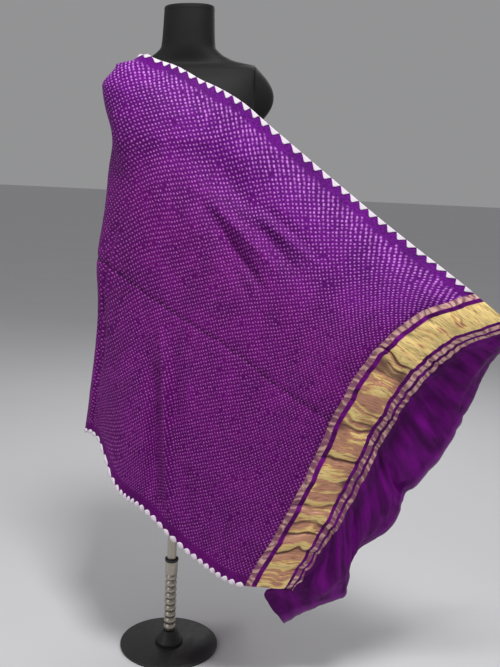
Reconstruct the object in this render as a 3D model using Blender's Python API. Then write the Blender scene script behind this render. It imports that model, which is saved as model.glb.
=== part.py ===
"""Dupatta stole draped over a limbless dress form on its stand.

Units are metres, +Z is up, and the origin is on the floor under the pole.  The
form faces -Y.  The stole is one rectangle of cloth, described by two lengths
measured on the cloth: `u` runs from the front hem to the back hem, and `v`
runs from the upper long edge to the lower one.
"""
import bmesh
import bpy
import numpy as np

GAP = 0.0003                 # clearance between pieces that touch

# ---------------------------------------------------------------- the stole
LENGTH = 2.10                # hem to hem
WIDTH = 0.90                 # long edge to long edge
CLOTH = 0.0015               # wall of the folded, crinkled silk
TRIM = 0.0010                # wall of the white edging
TRIM_WIDTH = 0.012
CLEAR = 0.0045               # mid-wall of the cloth to the form, at the nodes
SOFTNESS = (0.002, 0.001, 0.001)             # how gently each pass lifts it off the form

# Width along the cloth of each zone of an end, from its hem inwards.
END_ZONES = (
    ("plain_end", 0.170, "silk"),
    ("outer_stripe", 0.011, "zari_pink"),
    ("outer_ground", 0.008, "silk"),
    ("middle_stripe", 0.013, "zari_pink"),
    ("middle_ground", 0.010, "silk"),
    ("gold_band", 0.073, "zari"),
    ("inner_ground", 0.013, "silk"),
    ("inner_stripe", 0.017, "zari_pink"),
)
END = sum(width for _, width, _ in END_ZONES)
FIELD = (
    # stretch      from u  to u           length of a facet
    ("front",      END,    1.06,          0.043),
    ("shoulder",   1.06,   1.38,          0.020),
    ("back",       1.38,   LENGTH - END,  0.043),
)
END_CELL = 0.042             # length of a facet in the ends
CAP_END = 0.212              # the width down to here bends over the armhole cap
CAP_CELL, DROP_CELL = 0.020, 0.052           # width of a facet above and below that

# The draped stole hangs on five guide lines that run along it, each at a fixed
# `v`: stations `u` and the point (x, y, z) where the cloth lies there.
UPPER_EDGE = (
    # u      x       y       z
    (0.000,  0.725, -0.190,  0.845),
    (0.085,  0.722, -0.250,  0.860),
    (0.170,  0.690, -0.288,  0.880),
    (0.315,  0.604, -0.290,  0.944),
    (0.540,  0.434, -0.220,  1.067),
    (0.760,  0.262, -0.150,  1.199),
    (0.850,  0.178, -0.130,  1.264),
    (0.910,  0.131, -0.116,  1.301),
    (0.980,  0.075, -0.100,  1.332),
    (1.030,  0.037, -0.092,  1.347),
    (1.090, -0.013, -0.075,  1.373),
    (1.150, -0.056, -0.052,  1.387),
    (1.200, -0.102,  0.000,  1.404),
    (1.320, -0.085,  0.075,  1.350),
    (1.470, -0.005,  0.118,  1.240),
    (1.620,  0.092,  0.128,  1.118),
    (1.780,  0.190,  0.122,  0.990),
    (1.940,  0.280,  0.120,  0.860),
    (2.100,  0.362,  0.118,  0.727),
)
OVER_CAP = (
    # u      x       y       z
    (0.000,  0.675, -0.195,  0.780),
    (0.085,  0.658, -0.238,  0.810),
    (0.170,  0.604, -0.283,  0.840),
    (0.315,  0.505, -0.292,  0.905),
    (0.540,  0.364, -0.232,  0.980),
    (0.760,  0.214, -0.175,  1.098),
    (0.980,  0.045, -0.128,  1.220),
    (1.090, -0.045, -0.118,  1.275),
    (1.200, -0.135, -0.085,  1.315),
    (1.260, -0.177, -0.046,  1.330),
    (1.310, -0.186,  0.003,  1.330),
    (1.360, -0.176,  0.056,  1.295),
    (1.420, -0.136,  0.092,  1.240),
    (1.500, -0.070,  0.112,  1.190),
    (1.620,  0.045,  0.123,  1.058),
    (1.780,  0.155,  0.130,  0.915),
    (1.940,  0.248,  0.134,  0.785),
    (2.100,  0.332,  0.132,  0.655),
)
THIRD = (
    # u      x       y       z
    (0.000,  0.605, -0.200,  0.615),
    (0.085,  0.560, -0.225,  0.665),
    (0.170,  0.505, -0.270,  0.730),
    (0.315,  0.395, -0.285,  0.790),
    (0.540,  0.272, -0.238,  0.830),
    (0.760,  0.144, -0.197,  0.930),
    (0.980,  0.004, -0.157,  1.030),
    (1.090, -0.075, -0.130,  1.090),
    (1.220, -0.172,  0.000,  1.107),
    (1.320, -0.172,  0.085,  1.090),
    (1.470, -0.085,  0.125,  0.995),
    (1.620,  0.016,  0.132,  0.868),
    (1.780,  0.112,  0.150,  0.750),
    (1.940,  0.205,  0.156,  0.625),
    (2.100,  0.290,  0.154,  0.500),
)
THREE_QUARTERS = (
    # u      x       y       z
    (0.000,  0.404, -0.165,  0.250),
    (0.085,  0.395, -0.200,  0.320),
    (0.170,  0.380, -0.235,  0.440),
    (0.315,  0.270, -0.245,  0.475),
    (0.540,  0.141, -0.220,  0.525),
    (0.760,  0.025, -0.195,  0.614),
    (0.980, -0.076, -0.150,  0.693),
    (1.090, -0.137, -0.095,  0.712),
    (1.200, -0.195,  0.000,  0.731),
    (1.320, -0.190,  0.105,  0.720),
    (1.470, -0.128,  0.162,  0.625),
    (1.620, -0.055,  0.178,  0.530),
    (1.780,  0.030,  0.190,  0.430),
    (1.940,  0.125,  0.192,  0.335),
    (2.100,  0.222,  0.188,  0.238),
)
LOWER_EDGE = (
    # u      x       y       z
    (0.000,  0.274, -0.152,  0.150),
    (0.040,  0.246, -0.155,  0.184),
    (0.085,  0.225, -0.162,  0.228),
    (0.130,  0.261, -0.180,  0.247),
    (0.155,  0.282, -0.197,  0.254),
    (0.170,  0.288, -0.211,  0.259),
    (0.200,  0.274, -0.217,  0.264),
    (0.315,  0.180, -0.220,  0.271),
    (0.540,  0.063, -0.200,  0.326),
    (0.760, -0.053, -0.175,  0.419),
    (0.980, -0.129, -0.130,  0.469),
    (1.090, -0.179, -0.035,  0.533),
    (1.200, -0.220,  0.020,  0.535),
    (1.320, -0.200,  0.095,  0.515),
    (1.470, -0.150,  0.170,  0.430),
    (1.620, -0.080,  0.203,  0.335),
    (1.780,  0.004,  0.215,  0.248),
    (1.940,  0.098,  0.215,  0.165),
    (2.100,  0.195,  0.200,  0.085),
)
GUIDES = (
    # v              line
    (0.0,            UPPER_EDGE),
    (0.120,          OVER_CAP),
    (0.35 * WIDTH,   THIRD),
    (0.75 * WIDTH,   THREE_QUARTERS),
    (WIDTH,          LOWER_EDGE),
)

# The front hem doesn't run straight: let out, or drawn in where negative.
SCALLOPS = (
    # v     half width  out
    (0.445, 0.055,     -0.015),
    (0.590, 0.055,     -0.040),
    (0.695, 0.045,      0.016),
)
HEM_OUT = (0.79, 0.0, -0.61)      # the way out of the cloth at the front hem
HEM_FADE = 0.070                  # how far from the hem this dies away

# Folds and hollows, each along a straight line on the cloth from (u, v) to
# (u, v): how far it rises off the drape (negative: sinks) and its half width.
FOLDS = (
    # from u, v     to u, v        rise  half width
    (1.10, 0.055,  1.40, 0.055,  0.010, 0.036),    # over the end of the shoulder
    (0.98, 0.215,  0.66, 0.310, -0.015, 0.020),    # pulled from under the bust to the band
    (0.93, 0.150,  0.60, 0.225, -0.010, 0.018),
    (0.92, 0.270,  0.64, 0.350, -0.008, 0.018),
    (1.00, 0.175,  0.74, 0.110, -0.010, 0.040),    # broad hollow over the chest
    (1.02, 0.450,  0.60, 0.930,  0.014, 0.022),    # upright ridge below the waist
    (1.02, 0.550,  0.70, 0.930, -0.012, 0.026),
    (1.20, 0.170,  1.14, 0.260, -0.008, 0.020),    # dent beside the armhole
    (1.08, 0.220,  1.46, 0.230, -0.015, 0.042),    # hollow below the armhole cap
    (1.06, 0.460,  1.50, 0.460,  0.014, 0.085),    # fullness at the side
    (1.19, 0.380,  1.13, 0.960, -0.012, 0.014),    # groove where the front turns to the back
    (0.135, -0.05, 0.135, 0.86, -0.018, 0.026),    # plain end: valley beside the border
    (0.17, -0.10,  0.02, 0.42,  0.012, 0.030),
    (0.18, 0.455, -0.10, 0.450, -0.010, 0.014),
    (0.15, 0.540,  0.00, 0.860,  0.012, 0.030),
    (1.34, 0.200,  1.44, 1.500, -0.018, 0.036),    # flares that hang behind the shoulder
    (1.37, 0.150,  1.82, 1.600,  0.022, 0.050),
    (1.40, 0.120,  2.06, 1.560, -0.024, 0.050),
    (1.43, 0.105,  2.42, 1.680,  0.027, 0.050),
    (1.46, 0.080,  2.68, 1.440, -0.028, 0.050),
    (1.49, 0.055,  2.66, 1.120,  0.029, 0.050),
    (1.52, 0.040,  2.63, 0.800, -0.029, 0.050),
    (1.55, 0.025,  2.60, 0.500,  0.028, 0.050),
    (1.57, 0.020,  2.59, 0.250, -0.022, 0.050),
)

# ------------------------------------------------------------ the dress form
ARMHOLE_X = 0.150            # flat armhole faces, left and right
CAPS = np.array((
    # out    front   up      height of its centre
    (0.028,  0.050,  0.052,  1.330),         # right, under the cloth
    (0.043,  0.058,  0.068,  1.316),         # left
))
DOME = 1.2                   # a cap bulges by (1 - distance from its centre squared) to this power
ROUND = 2.3                  # roundness of the body's cross sections
TILT = 0.07                  # the left side stands taller by this share for each metre out

# Rings of the body, level before it leans: height, half width, reach to front and back.
BODY = (
    # z      half width  front   back
    (0.700,  0.140,  0.092,  0.096),
    (0.708,  0.153,  0.104,  0.110),
    (0.730,  0.162,  0.111,  0.119),
    (0.800,  0.171,  0.117,  0.129),
    (0.880,  0.165,  0.112,  0.128),
    (0.960,  0.140,  0.100,  0.106),
    (1.030,  0.121,  0.092,  0.088),
    (1.100,  0.130,  0.104,  0.088),
    (1.170,  0.145,  0.124,  0.096),
    (1.220,  0.156,  0.130,  0.103),
    (1.270,  0.170,  0.120,  0.108),
    (1.320,  0.175,  0.099,  0.104),
    (1.352,  0.172,  0.080,  0.090),
    (1.370,  0.165,  0.064,  0.070),
    (1.380,  0.157,  0.054,  0.058),
    (1.385,  0.149,  0.048,  0.051),
    (1.389,  0.129,  0.046,  0.049),
    (1.394,  0.106,  0.046,  0.049),
    (1.407,  0.078,  0.048,  0.050),
    (1.425,  0.060,  0.050,  0.051),
    (1.455,  0.057,  0.050,  0.050),
    (1.500,  0.055,  0.049,  0.049),
)
HIP = BODY[0][0]
NECK_CAP = (
    # share of the neck's ring, rise above it
    (1.00,  GAP),
    (1.00,  0.007),
    (0.94,  0.010),
)
CAP_RINGS = (0, 15, 30, 45, 58, 70, 80, 86)      # degrees from an armhole cap's rim

# ----------------------------------------------------------------- the stand
# Profiles turned about the pole: (radius, height above the piece's own foot).
SOCKET = ((0.0165, 0.0), (0.030, 0.018), (0.030, 0.026))
RING = ((0.0150, 0.0), (0.0165, 0.0015), (0.0165, 0.0055), (0.0150, 0.007))
COLLAR = ((0.0138, 0.0), (0.0152, 0.002), (0.0152, 0.031), (0.0138, 0.033))
BOSS = ((0.034, 0.0), (0.034, 0.006), (0.023, 0.022), (0.019, 0.032))
BASE = ((0.118, 0.0), (0.120, 0.002), (0.120, 0.006), (0.118, 0.008))
POLE_RADIUS = 0.011
RING_TOP = 0.228             # height of the ring's top above the floor
BEADS, BEAD_RADIUS, BEAD_NECK = 9, 0.0145, 0.0120


# ------------------------------------------------------------------ materials
def material(name, colour, roughness, metallic=0.0):
    """A plain Principled material, made once and shared."""
    if name in bpy.data.materials:
        return bpy.data.materials[name]
    made = bpy.data.materials.new(name)
    made.use_nodes = True
    shader = made.node_tree.nodes["Principled BSDF"]
    shader.inputs["Base Color"].default_value = (*colour, 1.0)
    shader.inputs["Roughness"].default_value = roughness
    shader.inputs["Metallic"].default_value = metallic
    return made


LOOKS = {
    "silk": ((0.13, 0.010, 0.17), 0.55, 0.0),
    "dotted_silk": ((0.20, 0.030, 0.24), 0.60, 0.0),
    "zari": ((0.62, 0.45, 0.20), 0.35, 0.8),
    "zari_pink": ((0.42, 0.24, 0.22), 0.40, 0.6),
    "cotton": ((0.90, 0.84, 0.90), 0.80, 0.0),
    "form_cover": ((0.018, 0.018, 0.020), 0.75, 0.0),
    "grey_metal": ((0.55, 0.53, 0.50), 0.35, 0.9),
    "black_metal": ((0.02, 0.02, 0.02), 0.40, 0.3),
}


def add_object(name, mesh, look):
    """Put a mesh into the scene under its node's name."""
    obj = bpy.data.objects.new(name, mesh)
    obj.data.materials.append(material(look, *LOOKS[look]))
    bpy.context.collection.objects.link(obj)
    return obj


# ------------------------------------------------------------------ functions
def slopes_at(knots, values):
    """Slopes of a curve that never overshoots: flat where it turns back."""
    step = np.diff(knots).reshape((-1,) + (1,) * (values.ndim - 1))
    rate = np.diff(values, axis=0) / step
    before, after = rate[:-1], rate[1:]
    same_way = before * after > 0
    mean = 3 * (step[:-1] + step[1:]) / (
        (2 * step[1:] + step[:-1]) / np.where(same_way, before, 1)
        + (step[1:] + 2 * step[:-1]) / np.where(same_way, after, 1))
    return np.concatenate([rate[:1], np.where(same_way, mean, 0), rate[-1:]])


def curve(knots, values, at, slopes):
    """Cubic curves through `values` at `knots`, read at `at` (first axis)."""
    knots, at = np.asarray(knots, float), np.asarray(at, float)
    left = np.clip(np.searchsorted(knots, at) - 1, 0, len(knots) - 2)
    shape = (len(at),) + (1,) * (values.ndim - 1)
    span = (knots[left + 1] - knots[left]).reshape(shape)
    t = (at - knots[left]).reshape(shape) / span
    start, end = values[left], values[left + 1]
    return (start * (1 + 2 * t) * (1 - t) ** 2 + end * t ** 2 * (3 - 2 * t)
            + span * t * (1 - t) * (slopes[left] * (1 - t) - slopes[left + 1] * t))


def tilted(x, z):
    """Height of a point of the form, once the form leans on its stand."""
    return HIP + (z - HIP) * (1 + TILT * x)


def untilted(points):
    """The x, the y, and the height before the form leans."""
    x, y, z = np.moveaxis(points, -1, 0)
    return x, y, HIP + (z - HIP) / (1 + TILT * x)


def body_level(points):
    """1 on the body's skin, less inside: a superellipse in each ring."""
    x, y, z = untilted(points)
    rings = np.asarray(BODY)
    half = np.interp(z, rings[:, 0], rings[:, 1])
    front = np.interp(z, rings[:, 0], rings[:, 2])
    back = np.interp(z, rings[:, 0], rings[:, 3])
    deep = np.where(y < 0, front, back)
    level = (np.abs(x / half) ** ROUND + np.abs(y / deep) ** ROUND) ** (1 / ROUND)
    return np.maximum(level, 1 + (np.abs(x) - ARMHOLE_X) / ARMHOLE_X)


def cap_level(points):
    """1 on the armhole caps, less inside: a shallow dome at each side."""
    x, y, z = untilted(points)
    out, front, up, centre = np.moveaxis(CAPS[(x > 0).astype(int)], -1, 0)
    bulge = (np.maximum(np.abs(x) - ARMHOLE_X, 0) / out) ** (1 / DOME)
    return np.sqrt(bulge + (y / front) ** 2 + ((z - centre) / up) ** 2)


def distance(level, points, step=0.001):
    """Distance to a level-1 skin, to first order, and the way out of it."""
    value = level(points)
    slope = np.stack([(level(points + axis) - level(points - axis)) / (2 * step)
                      for axis in np.eye(3) * step], axis=-1)
    steep = np.maximum(np.linalg.norm(slope, axis=-1), 1.0)
    return (value - 1) / steep, slope / steep[..., None]


def lift_off(points):
    """Move cloth that would enter the form out to its skin, softly at first."""
    for softness in SOFTNESS:
        for level in (body_level, cap_level):
            away, out = distance(level, points)
            wanted = CLEAR + softness * np.logaddexp(0, (away - CLEAR) / softness)
            points = points + out * (wanted - away)[..., None]
    return points


def scallop(u, v):
    """How far the front hem is let out along HEM_OUT, on the grid of `u` by `v`."""
    out = sum(reach * np.exp(-((v - at) / width) ** 2) for at, width, reach in SCALLOPS)
    return np.outer(np.exp(-(u / HEM_FADE) ** 2), out)


def hang(u, v):
    """The drape before its folds, on the grid of `u` by `v`.

    Cubic curves along the cloth through each guide line's stations, then cubic
    curves across it from guide line to guide line.
    """
    lines = []
    for _, line in GUIDES:
        station, points = np.split(np.asarray(line), [1], axis=1)
        lines.append(curve(station[:, 0], points, u, np.gradient(points, station[:, 0], axis=0)))
    across, lines = np.array([at for at, _ in GUIDES]), np.stack(lines)
    points = np.moveaxis(curve(across, lines, v, slopes_at(across, lines)), 0, 1)
    return points + scallop(u, v)[..., None] * HEM_OUT


def facing(surface, u, v, step=0.004):
    """Unit normals of a surface of (u, v), away from the wearer."""
    across = surface(u, v + step) - surface(u, v - step)
    along = surface(u + step, v) - surface(u - step, v)
    out = np.cross(along, across)
    return out / np.linalg.norm(out, axis=-1, keepdims=True)


def folds(u, v):
    """How far the folds lift the cloth: each swells and fades along its line."""
    here = np.stack(np.meshgrid(u, v, indexing="ij"), axis=-1)
    rise = np.zeros(here.shape[:2])
    for u0, v0, u1, v1, height, width in FOLDS:
        run = np.array([u1 - u0, v1 - v0])
        length = np.linalg.norm(run)
        offset = here - (u0, v0)
        t = np.clip(offset @ run / length ** 2, 0, 1)
        aside = (offset[..., 0] * run[1] - offset[..., 1] * run[0]) / length
        rise += height * np.sin(np.pi * t) ** 2 * np.exp(-(aside / width) ** 2)
    return rise


def drape(u, v):
    """Points of the cloth's mid-wall on the grid of `u` by `v`."""
    out = facing(hang, u, v)
    return lift_off(hang(u, v) + out * folds(u, v)[..., None])


def halves(a, b, c, d):
    """The two triangles of each four-sided face, split from a to c."""
    return np.concatenate([np.stack([a, b, c], axis=-1).reshape(-1, 3),
                           np.stack([a, c, d], axis=-1).reshape(-1, 3)])


def wall(name, u, v, look, thickness, lift=0.0):
    """A closed wall on the drape between the first and last `u` and `v`.

    Each wall stops half a gap short of its seams, square to them, however the
    cloth is drawn together there.  Neighbours split their rims along the same
    diagonals, so the gap holds where the cloth twists.
    """
    middle, out = drape(u, v), facing(drape, u, v)
    onward = np.cross(np.gradient(middle, axis=1), out)
    onward *= GAP / 2 / np.linalg.norm(onward, axis=-1, keepdims=True)
    middle[0] += onward[0]
    middle[-1] -= onward[-1]
    outer = middle + out * (lift + thickness / 2)
    inner = middle + out * (lift - thickness / 2)
    number = np.arange(len(u) * len(v)).reshape(len(u), len(v))
    under = number.size
    faces = halves(number[:-1, :-1], number[1:, :-1], number[1:, 1:], number[:-1, 1:])
    triangles = [faces, faces[:, ::-1] + under]
    for edge, turned_out in ((number[0], True), (number[-1], False),
                             (number[:, 0], False), (number[:, -1], True)):
        rim = halves(edge[:-1], edge[1:], edge[1:] + under, edge[:-1] + under)
        triangles.append(rim if turned_out else rim[:, ::-1])
    mesh = bpy.data.meshes.new(name)
    points = np.concatenate([outer.reshape(-1, 3), inner.reshape(-1, 3)])
    mesh.from_pydata(points.tolist(), [], np.concatenate(triangles).tolist())
    mesh.shade_smooth()
    return add_object(name, mesh, look)


def steps(start, end, size):
    """Evenly spaced values from start to end, about `size` apart."""
    return np.linspace(start, end, max(2, int(round((end - start) / size)) + 1))


def ring_points(half, front, back, sides=48):
    """One ring of the body, cut flat at the armholes."""
    turn = np.linspace(0, 2 * np.pi, sides, endpoint=False)
    x = half * np.sign(np.cos(turn)) * np.abs(np.cos(turn)) ** (2 / ROUND)
    y = np.sign(np.sin(turn)) * np.abs(np.sin(turn)) ** (2 / ROUND)
    return np.clip(x, -ARMHOLE_X, ARMHOLE_X), y * np.where(y < 0, front, back)


def loft(name, rings, look, crease=0.7):
    """A closed solid through rings of equal point counts, flat at both ends."""
    shape = bmesh.new()
    rings = [[shape.verts.new(point) for point in ring] for ring in rings]
    for low, high in zip(rings, rings[1:]):
        for i in range(len(low)):
            j = (i + 1) % len(low)
            shape.faces.new((low[i], low[j], high[j], high[i]))
    shape.faces.new(rings[0][::-1])
    shape.faces.new(rings[-1])
    mesh = bpy.data.meshes.new(name)
    shape.to_mesh(mesh)
    shape.free()
    mesh.shade_smooth()
    mesh.set_sharp_from_angle(angle=crease)
    return add_object(name, mesh, look)


def turned(name, profile, foot, look, sides=32):
    """A solid of revolution about the pole, standing at the height `foot`."""
    turn = np.linspace(0, 2 * np.pi, sides, endpoint=False)
    rings = [[(r * np.cos(a), r * np.sin(a), foot + z) for a in turn] for r, z in profile]
    return loft(name, rings, look)


# --------------------------------------------------------------- the sub-parts
def build_end(side, across):
    """The woven zones of one end, from its hem to the field."""
    start = 0.0
    for zone, width, look in END_ZONES:
        u = steps(start, start + width, END_CELL)
        if side == "back":
            u = (LENGTH - u)[::-1]
        wall(f"{side}_{zone}", u, across, look, CLOTH)
        start += width


def build_field(across):
    """The dotted field in three stretches, with the edging laid on each."""
    edges = (("upper", np.array([0.0, TRIM_WIDTH])),
             ("lower", np.array([WIDTH - TRIM_WIDTH, WIDTH])))
    lift = CLOTH / 2 + GAP + TRIM / 2
    for stretch, start, end, size in FIELD:
        u = steps(start, end, size)
        wall(f"field_{stretch}", u, across, "dotted_silk", CLOTH)
        for edge, v in edges:
            wall(f"edging_{edge}_{stretch}", u, v, "cotton", TRIM, lift)


def build_form():
    """Torso with flat armholes, the two armhole caps and the neck's top."""
    rings = []
    for z, half, front, back in BODY:
        x, y = ring_points(half, front, back)
        rings.append(list(zip(x, y, tilted(x, z))))
    loft("form_torso", rings, "form_cover", crease=0.9)

    top, half, front, back = BODY[-1]
    rings = []
    for share, rise in NECK_CAP:
        x, y = ring_points(half * share, front * share, back * share)
        rings.append(list(zip(x, y, tilted(x, top + rise))))
    loft("form_neck_cap", rings, "form_cover")

    turn = np.linspace(0, 2 * np.pi, 32, endpoint=False)
    for side, name, (out, front, up, centre) in ((-1, "form_cap_right", CAPS[0]),
                                                 (1, "form_cap_left", CAPS[1])):
        rings = []
        for angle in np.radians(CAP_RINGS):
            x = side * (ARMHOLE_X + GAP + (out - GAP) * np.sin(angle) ** (2 * DOME))
            y = side * front * np.cos(angle) * np.cos(turn)
            z = centre + up * np.cos(angle) * np.sin(turn)
            rings.append([(x, *place) for place in zip(y, tilted(x, z))])
        loft(name, rings, "form_cover")


def build_stand():
    """Base plate, boss, beaded post, collar, ring, pole and socket."""
    boss_foot = BASE[-1][1] + GAP
    post_foot = boss_foot + BOSS[-1][1] + GAP
    ring_foot = RING_TOP - RING[-1][1]
    collar_foot = ring_foot - GAP - COLLAR[-1][1]
    pole_foot = RING_TOP + GAP
    socket_foot = BODY[0][0] - GAP - SOCKET[-1][1]

    share = np.linspace(0, 1, 4 * BEADS + 1)
    swell = np.abs(np.sin(np.pi * BEADS * share))
    beads = np.column_stack([BEAD_NECK + (BEAD_RADIUS - BEAD_NECK) * swell,
                             (collar_foot - GAP - post_foot) * share])
    pole = ((POLE_RADIUS, 0.0), (POLE_RADIUS, socket_foot - GAP - pole_foot))

    turned("stand_base", BASE, 0.0, "black_metal", sides=64)
    turned("stand_boss", BOSS, boss_foot, "black_metal")
    turned("stand_post", beads, post_foot, "grey_metal", sides=24)
    turned("stand_collar", COLLAR, collar_foot, "grey_metal")
    turned("stand_ring", RING, ring_foot, "black_metal")
    turned("stand_pole", pole, pole_foot, "grey_metal")
    turned("stand_socket", SOCKET, socket_foot, "black_metal")


def main():
    """Clear the scene and build every sub-part."""
    for old in list(bpy.data.objects):
        bpy.data.objects.remove(old)
    over_cap = steps(TRIM_WIDTH, CAP_END, CAP_CELL)
    below_cap = steps(CAP_END, WIDTH - TRIM_WIDTH, DROP_CELL)
    across = np.concatenate([[0.0], over_cap, below_cap[1:], [WIDTH]])
    build_end("front", across)
    build_field(across)
    build_end("back", across)
    build_form()
    build_stand()


if __name__ == "__main__":
    main()
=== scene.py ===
# %% [markdown]
# # A dupatta draped on a dress form
# A dupatta is a long stole.  This one is purple silk, tie-dyed all over with small dots, with a
# woven gold border and a plain end at each short side, and folded white triangles sewn along both
# long edges.  It hangs over one shoulder of a dress form.  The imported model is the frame: each
# piece made here lies where its solid lies.

# %% Load the frame
from math import radians

import bpy
import numpy as np
from mathutils import Matrix, Vector


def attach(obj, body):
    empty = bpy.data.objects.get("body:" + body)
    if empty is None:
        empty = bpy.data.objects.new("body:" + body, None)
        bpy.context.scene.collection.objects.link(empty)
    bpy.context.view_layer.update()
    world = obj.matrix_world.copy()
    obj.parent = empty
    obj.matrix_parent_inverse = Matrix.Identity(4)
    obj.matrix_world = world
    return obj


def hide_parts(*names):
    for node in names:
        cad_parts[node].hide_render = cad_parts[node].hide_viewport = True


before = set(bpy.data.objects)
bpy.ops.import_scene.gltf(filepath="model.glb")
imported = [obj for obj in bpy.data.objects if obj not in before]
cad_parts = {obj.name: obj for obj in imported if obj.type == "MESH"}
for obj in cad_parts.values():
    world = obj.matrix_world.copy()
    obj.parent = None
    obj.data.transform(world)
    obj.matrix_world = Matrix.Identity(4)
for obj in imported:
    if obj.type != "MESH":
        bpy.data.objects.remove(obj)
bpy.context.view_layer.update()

# %% [markdown]
# ## The camera
# A camera is placed by a matrix: move to its place, tip it down, then lean it about its own axis.
# A slight lean is what a hand-held camera has, and it makes upright things slant.  The plain
# "Standard" view keeps strong dyes as strong as they are; the default one would grey them.

# %% Place the camera
CAMERA_PLACE = (0.165, -2.0, 1.145)
TIPPED_DOWN, LEANING = 10.0, 2.7          # degrees
LENS, SENSOR = 47.06, 36.0                # mm, on the frame's longer side

camera = bpy.data.objects.new("camera", bpy.data.cameras.new("camera"))
camera.data.lens, camera.data.sensor_width, camera.data.sensor_fit = LENS, SENSOR, "AUTO"
camera.matrix_world = (Matrix.Translation(CAMERA_PLACE)
                       @ Matrix.Rotation(radians(90 - TIPPED_DOWN), 4, "X")
                       @ Matrix.Rotation(radians(LEANING), 4, "Z"))
bpy.context.collection.objects.link(camera)
bpy.context.scene.camera = camera
bpy.context.scene.view_settings.view_transform = "Standard"
print("camera at", CAMERA_PLACE, "lens", LENS, "mm")

# %% [markdown]
# ## Helpers for finishes
# A finish is a small network of nodes.  Writing each network by hand is long, so short helpers
# add a node, a sum, a soft step or a noise.  Colours are given as they look on a screen, from 0
# to 255, and turned into the linear numbers that a shader adds up.


# %% Finish helpers
def colour(red, green, blue):
    """Screen colour to linear: ((c + 0.055) / 1.055) ** 2.4, or c / 12.92 where it is dark."""
    c = np.array([red, green, blue]) / 255
    return (*np.where(c > 0.04045, ((c + 0.055) / 1.055) ** 2.4, c / 12.92).tolist(), 1.0)


def add(tree, kind, inputs=(), **settings):
    """One node; `inputs` holds plain values or the sockets that feed it."""
    made = tree.nodes.new("ShaderNode" + kind)
    for key, value in settings.items():
        setattr(made, key, value)
    for key, value in dict(inputs).items():
        if isinstance(value, bpy.types.NodeSocket):
            tree.links.new(value, made.inputs[key])
        else:
            made.inputs[key].default_value = value
    return made


def maths(tree, operation, *values):
    """One sum of up to three values or sockets."""
    return add(tree, "Math", enumerate(values), operation=operation).outputs[0]


def soft_step(tree, value, low, high, start=0.0, end=1.0):
    """From `start` at `low` to `end` at `high`, easing in and out."""
    return add(tree, "MapRange", {"Value": value, "From Min": low, "From Max": high,
                                  "To Min": start, "To Max": end},
               interpolation_type="SMOOTHSTEP").outputs[0]


def mixed(tree, share, first, second):
    """First colour where share is 0, second where it is 1."""
    return add(tree, "Mix", {0: share, 6: first, 7: second}, data_type="RGBA").outputs[2]


def noise_of(tree, place, scale, detail=2.0):
    """Soft random patches, from 0 to 1, `scale` of them to a unit of `place`."""
    return add(tree, "TexNoise", {"Vector": place, "Scale": scale, "Detail": detail}).outputs[0]


def streaks_of(tree, place, scales, detail):
    """Soft random streaks, with a scale of their own along each axis."""
    return noise_of(tree, add(tree, "Mapping", {"Vector": place, "Scale": scales}).outputs[0],
                    1.0, detail)


def on_object(tree):
    """The place on the object, in metres."""
    return add(tree, "TexCoord").outputs["Object"]


def on_cloth(tree):
    """The lengths u and v along the cloth, as stored on its mesh."""
    return add(tree, "UVMap", uv_map="lengths").outputs[0]


def finish(name, **constants):
    """A material, its node tree and its shader with the constants set on it."""
    made = bpy.data.materials.new(name)
    made.use_nodes = True
    shader = made.node_tree.nodes["Principled BSDF"]
    for socket, value in constants.items():
        shader.inputs[socket.replace("_", " ")].default_value = value
    return made, made.node_tree, shader


def feed(tree, shader, **sockets):
    """Link sockets to the shader's inputs of those names."""
    for name, socket in sockets.items():
        tree.links.new(socket, shader.inputs[name.replace("_", " ")])


def bumped(tree, height, distance, strength=1.0):
    """A normal tilted by a height pattern; distance is its depth in metres."""
    return add(tree, "Bump", {"Height": height, "Distance": distance,
                              "Strength": strength}).outputs[0]


print("mid grey, 128 on a screen, is", round(colour(128, 128, 128)[0], 3))

# %% [markdown]
# ## Lights and floor
# One large soft lamp high in front gives the folds their light and dark sides, a weaker one opens
# up the shadows, and a third from behind draws the edges.  The floor is plain and pale.

# %% Set up the lights
LAMPS = (
    # name    place                 aimed at            size  watts
    ("key",   (0.40, -1.50, 3.50),  (0.15, 0.0, 1.05),  0.7,  84.0),
    ("fill",  (-2.60, -2.20, 1.60), (0.15, 0.0, 0.90),  2.0,  15.0),
    ("back",  (0.80, 2.60, 2.60),   (0.00, 0.0, 1.00),  1.6,  30.0),
)
for name, place, target, size, watts in LAMPS:
    lamp = bpy.data.objects.new(name, bpy.data.lights.new(name, "AREA"))
    lamp.data.size, lamp.data.energy = size, watts
    lamp.location = place
    lamp.rotation_euler = (Vector(target) - Vector(place)).to_track_quat("-Z", "Y").to_euler()
    bpy.context.collection.objects.link(lamp)

world = bpy.data.worlds.new("studio")
world.use_nodes = True
background = world.node_tree.nodes["Background"].inputs
background["Color"].default_value = colour(222, 222, 224)
background["Strength"].default_value = 0.40
bpy.context.scene.world = world

floor_mesh = bpy.data.meshes.new("floor")
REACH = 60.0
floor_mesh.from_pydata([(-REACH, -REACH, 0), (REACH, -REACH, 0), (REACH, REACH, 0),
                        (-REACH, REACH, 0)], [], [(0, 1, 2, 3)])
floor = bpy.data.objects.new("floor", floor_mesh)
bpy.context.collection.objects.link(floor)
floor_finish, tree, shader = finish("floor_paint", Roughness=0.85)
place = on_object(tree)
feed(tree, shader, Base_Color=mixed(tree, noise_of(tree, place, 1.5),
                                    colour(206, 206, 208), colour(212, 212, 213)))
floor.data.materials.append(floor_finish)
print("lamps:", [row[0] for row in LAMPS])

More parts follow.
